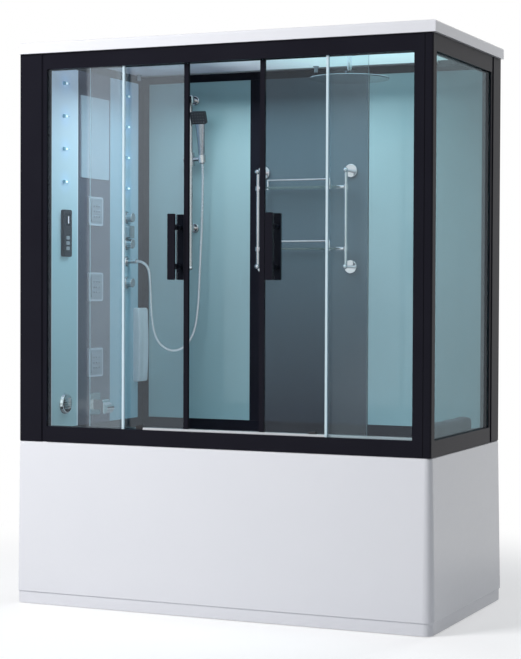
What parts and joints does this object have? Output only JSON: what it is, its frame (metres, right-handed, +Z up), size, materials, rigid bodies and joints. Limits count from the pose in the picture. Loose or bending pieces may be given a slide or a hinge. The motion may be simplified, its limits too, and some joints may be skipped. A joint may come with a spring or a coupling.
{
  "type": "steam shower cabin with bathtub",
  "caption": "Rectangular steam shower cabin over a bathtub, with sliding glass doors, equipment wall, rain shower, hand shower and glass shelves.",
  "frame": {"origin": "on the floor, under the middle of the cabin's outer box", "axes": "+X to the right along the front, +Y from the doors to the rear wall, +Z up"},
  "size_m": [1.712, 0.862, 2.2],
  "materials": {
    "acrylic_white": "glossy moulded acrylic",
    "painted_steel": "grey painted steel tube",
    "foot_steel": "zinc plated steel",
    "chrome": "polished chrome",
    "soft_grey": "matt soft foam",
    "black_aluminium": "satin black coated aluminium",
    "clear_glass": "clear toughened glass",
    "clear_vinyl": "clear soft vinyl",
    "white_nylon": "white nylon",
    "steel": "brushed stainless steel",
    "light_lens": "light diffusing plastic",
    "black_plastic": "glossy black plastic",
    "lit_glass": "back-lacquered cyan glass",
    "dark_glass": "back-lacquered dark glass",
    "mirror": "mirror",
    "jet_grey": "grey glossy plastic",
    "key_grey": "grey soft-touch plastic",
    "pad_white": "satin moulded plastic",
    "frosted_glass": "back-lacquered pale cyan glass",
    "slate_glass": "back-lacquered slate glass",
    "shower_silver": "chromed plastic with a black spray face",
    "hose_steel": "interlocked steel hose"
  },
  "bodies": {
    "root": {"bathtub": "acrylic_white", "apron": "acrylic_white", "roof_canopy": "acrylic_white", "support_frame": "painted_steel", "levelling_feet": "foot_steel", "waste_and_overflow": "chrome", "headrest": "soft_grey", "wall_posts": "black_aluminium", "corner_post": "black_aluminium", "front_head_rail": "black_aluminium", "front_sill_rail": "black_aluminium", "side_rails": "black_aluminium", "fixed_glass": "clear_glass", "side_glass": "clear_glass", "glass_seals": "clear_vinyl", "door_guides": "white_nylon", "ceiling_lights": "light_lens", "ceiling_fan": "black_plastic", "rain_shower_arm": "chrome", "equipment_frame": "black_aluminium", "lit_panels": "lit_glass", "dark_panel": "dark_glass", "light_wedges": "light_lens", "wall_mirror": "mirror", "back_jets": "jet_grey", "control_panel": "black_plastic", "wall_outlets": "chrome", "steam_generator": "steel", "shower_valve": "chrome", "massage_pad": "pad_white", "rear_frame": "black_aluminium", "rear_glass": "frosted_glass", "slate_panel": "slate_glass", "riser_rail": "chrome", "shower_hose": "hose_steel", "shelf_rails": "chrome", "glass_shelves": "clear_glass"},
    "left_door": {"left_door_glass": "clear_glass", "left_door_edge": "black_aluminium", "left_door_handle": "black_aluminium", "left_door_hangers": "steel"},
    "right_door": {"right_door_glass": "clear_glass", "right_door_edge": "black_aluminium", "right_door_handle": "black_aluminium", "right_door_hangers": "steel"},
    "left_outer_wheel": {"left_roller_outer": "white_nylon"},
    "left_inner_wheel": {"left_roller_inner": "white_nylon"},
    "right_inner_wheel": {"right_roller_inner": "white_nylon"},
    "right_outer_wheel": {"right_roller_outer": "white_nylon"},
    "rain_head": {"rain_shower_head": "steel"},
    "shower_slider": {"shower_holder": "chrome", "hand_shower": "shower_silver"},
    "diverter": {"diverter_knob": "chrome"},
    "mixer": {"mixer_knob": "chrome"},
    "flow_tap": {"flow_knob": "chrome"},
    "power_button": {"power_key": "key_grey"},
    "steam_button": {"steam_key": "key_grey"},
    "light_button": {"light_key": "key_grey"},
    "plug": {"waste_plug": "chrome"},
    "overflow_turn": {"overflow_knob": "chrome"}
  },
  "joints": [
    {"name": "left_door_slide", "type": "slide", "parent": "root", "child": "left_door", "axis": [1, 0, 0], "range_m": [-0.1675, 0.1505]},
    {"name": "right_door_slide", "type": "slide", "parent": "root", "child": "right_door", "axis": [1, 0, 0], "range_m": [-0.142, 0.176]},
    {"name": "left_inner_wheel_spin", "type": "hinge", "parent": "left_door", "child": "left_inner_wheel", "pos_m": [-0.1955, -0.373, 2.109], "axis": [0, 1, 0], "range_deg": [-1300, 1300]},
    {"name": "left_outer_wheel_spin", "type": "hinge", "parent": "left_door", "child": "left_outer_wheel", "pos_m": [-0.4995, -0.373, 2.109], "axis": [0, 1, 0], "range_deg": [-1300, 1300]},
    {"name": "right_inner_wheel_spin", "type": "hinge", "parent": "right_door", "child": "right_inner_wheel", "pos_m": [0.222, -0.373, 2.109], "axis": [0, 1, 0], "range_deg": [-1300, 1300]},
    {"name": "right_outer_wheel_spin", "type": "hinge", "parent": "right_door", "child": "right_outer_wheel", "pos_m": [0.526, -0.373, 2.109], "axis": [0, 1, 0], "range_deg": [-1300, 1300]},
    {"name": "rain_head_tilt", "type": "hinge", "parent": "root", "child": "rain_head", "pos_m": [0.369, -0.009, 2.074], "axis": [1, 0, 0], "range_deg": [-12, 12]},
    {"name": "shower_slide", "type": "slide", "parent": "root", "child": "shower_slider", "axis": [0, 0, 1], "range_m": [-0.24, 0.13], "deforming": ["shower_hose"]},
    {"name": "diverter_turn", "type": "hinge", "parent": "root", "child": "diverter", "pos_m": [-0.724, 0.256, 1.542], "axis": [1, 0, 0], "range_deg": [-135, 135]},
    {"name": "mixer_turn", "type": "hinge", "parent": "root", "child": "mixer", "pos_m": [-0.724, 0.256, 1.43], "axis": [1, 0, 0], "range_deg": [-90, 90]},
    {"name": "flow_turn", "type": "hinge", "parent": "root", "child": "flow_tap", "pos_m": [-0.724, 0.256, 1.265], "axis": [1, 0, 0], "range_deg": [0, 90]},
    {"name": "power_press", "type": "slide", "parent": "root", "child": "power_button", "axis": [-1, 0, 0], "range_m": [0, 0.0008], "stiffness_N_per_m": 500},
    {"name": "steam_press", "type": "slide", "parent": "root", "child": "steam_button", "axis": [-1, 0, 0], "range_m": [0, 0.0008], "stiffness_N_per_m": 500},
    {"name": "light_press", "type": "slide", "parent": "root", "child": "light_button", "axis": [-1, 0, 0], "range_m": [0, 0.0008], "stiffness_N_per_m": 500},
    {"name": "overflow_knob_turn", "type": "hinge", "parent": "root", "child": "overflow_turn", "pos_m": [-0.66636, 0.006, 0.565], "axis": [0.9815, 0, 0.1915], "range_deg": [0, 90]},
    {"name": "plug_lift", "type": "slide", "parent": "root", "child": "plug", "axis": [0, 0, 1], "range_m": [0, 0.0082]}
  ],
  "couplings": [
    {"joint": "left_inner_wheel_spin", "follows": "left_door_slide", "rad_per_m": 111.11},
    {"joint": "left_outer_wheel_spin", "follows": "left_door_slide", "rad_per_m": 111.11},
    {"joint": "right_inner_wheel_spin", "follows": "right_door_slide", "rad_per_m": 111.11},
    {"joint": "right_outer_wheel_spin", "follows": "right_door_slide", "rad_per_m": 111.11},
    {"joint": "plug_lift", "follows": "overflow_knob_turn", "m_per_rad": 0.005093}
  ]
}
